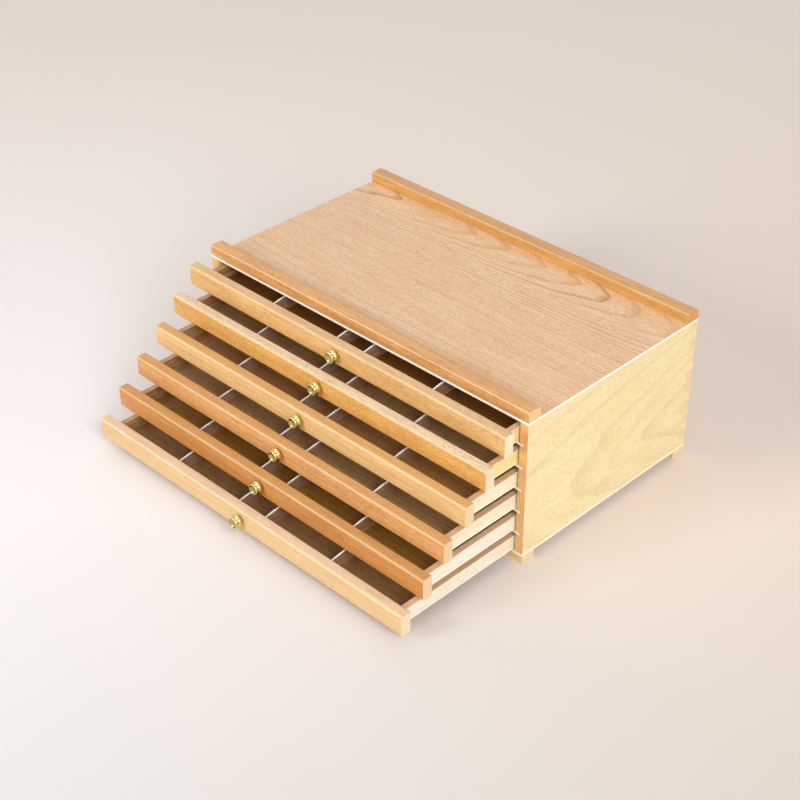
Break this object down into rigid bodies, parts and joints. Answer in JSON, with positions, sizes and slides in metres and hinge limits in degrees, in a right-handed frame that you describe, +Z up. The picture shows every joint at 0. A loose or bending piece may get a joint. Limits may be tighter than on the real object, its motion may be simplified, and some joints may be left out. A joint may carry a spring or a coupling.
{
  "type": "artist's pastel drawer box",
  "caption": "Low wooden box of shallow drawers split into bays for pastels, drawn out in steps; thin strip runners, overlay fronts with turned brass knobs, a lipped flat top and block feet.",
  "frame": {"origin": "on the table, under the middle of the whole object's box as it stands with its drawers out in steps; the case's front is 39.65 mm in front of it and its back 202.35 mm behind it", "axes": "+X to the right seen from the front, +Y to the back, +Z up; the drawers open towards -Y"},
  "size_m": [0.42, 0.4048, 0.1665],
  "materials": {
    "case_wood": "clear satin",
    "back_wood": "clear satin",
    "lip_wood": "clear satin",
    "top_ply": "clear satin",
    "ply": "unfinished",
    "runner_ply": "unfinished",
    "foot_wood": "clear satin",
    "front_wood": "clear satin",
    "box_wood": "clear satin",
    "divider_ply": "unfinished",
    "knob_brass": "polished",
    "screw_steel": "zinc plated"
  },
  "bodies": {
    "case": {"side_left": "case_wood", "side_right": "case_wood", "back_panel": "back_wood", "top_panel": "top_ply", "bottom_panel": "ply", "front_lip": "lip_wood", "rear_lip": "lip_wood", "feet": "foot_wood", "runners": "runner_ply"},
    "drawer_1": {"drawer_1_front": "front_wood", "drawer_1_side_left": "box_wood", "drawer_1_side_right": "box_wood", "drawer_1_back": "box_wood", "drawer_1_bottom": "ply", "drawer_1_dividers": "divider_ply", "drawer_1_knob": "knob_brass", "drawer_1_knob_screw": "screw_steel"},
    "drawer_2": {"drawer_2_front": "front_wood", "drawer_2_side_left": "box_wood", "drawer_2_side_right": "box_wood", "drawer_2_back": "box_wood", "drawer_2_bottom": "ply", "drawer_2_dividers": "divider_ply", "drawer_2_knob": "knob_brass", "drawer_2_knob_screw": "screw_steel"},
    "drawer_3": {"drawer_3_front": "front_wood", "drawer_3_side_left": "box_wood", "drawer_3_side_right": "box_wood", "drawer_3_back": "box_wood", "drawer_3_bottom": "ply", "drawer_3_dividers": "divider_ply", "drawer_3_knob": "knob_brass", "drawer_3_knob_screw": "screw_steel"},
    "drawer_4": {"drawer_4_front": "front_wood", "drawer_4_side_left": "box_wood", "drawer_4_side_right": "box_wood", "drawer_4_back": "box_wood", "drawer_4_bottom": "ply", "drawer_4_dividers": "divider_ply", "drawer_4_knob": "knob_brass", "drawer_4_knob_screw": "screw_steel"},
    "drawer_5": {"drawer_5_front": "front_wood", "drawer_5_side_left": "box_wood", "drawer_5_side_right": "box_wood", "drawer_5_back": "box_wood", "drawer_5_bottom": "ply", "drawer_5_dividers": "divider_ply", "drawer_5_knob": "knob_brass", "drawer_5_knob_screw": "screw_steel"},
    "drawer_6": {"drawer_6_front": "front_wood", "drawer_6_side_left": "box_wood", "drawer_6_side_right": "box_wood", "drawer_6_back": "box_wood", "drawer_6_bottom": "ply", "drawer_6_dividers": "divider_ply", "drawer_6_knob": "knob_brass", "drawer_6_knob_screw": "screw_steel"}
  },
  "joints": [
    {"name": "drawer_1_slide", "type": "slide", "parent": "case", "child": "drawer_1", "axis": [0, -1, 0], "range_m": [-0.018, 0.162]},
    {"name": "drawer_2_slide", "type": "slide", "parent": "case", "child": "drawer_2", "axis": [0, -1, 0], "range_m": [-0.041, 0.139]},
    {"name": "drawer_3_slide", "type": "slide", "parent": "case", "child": "drawer_3", "axis": [0, -1, 0], "range_m": [-0.066, 0.114]},
    {"name": "drawer_4_slide", "type": "slide", "parent": "case", "child": "drawer_4", "axis": [0, -1, 0], "range_m": [-0.092, 0.088]},
    {"name": "drawer_5_slide", "type": "slide", "parent": "case", "child": "drawer_5", "axis": [0, -1, 0], "range_m": [-0.117, 0.063]},
    {"name": "drawer_6_slide", "type": "slide", "parent": "case", "child": "drawer_6", "axis": [0, -1, 0], "range_m": [-0.143, 0.037]}
  ]
}
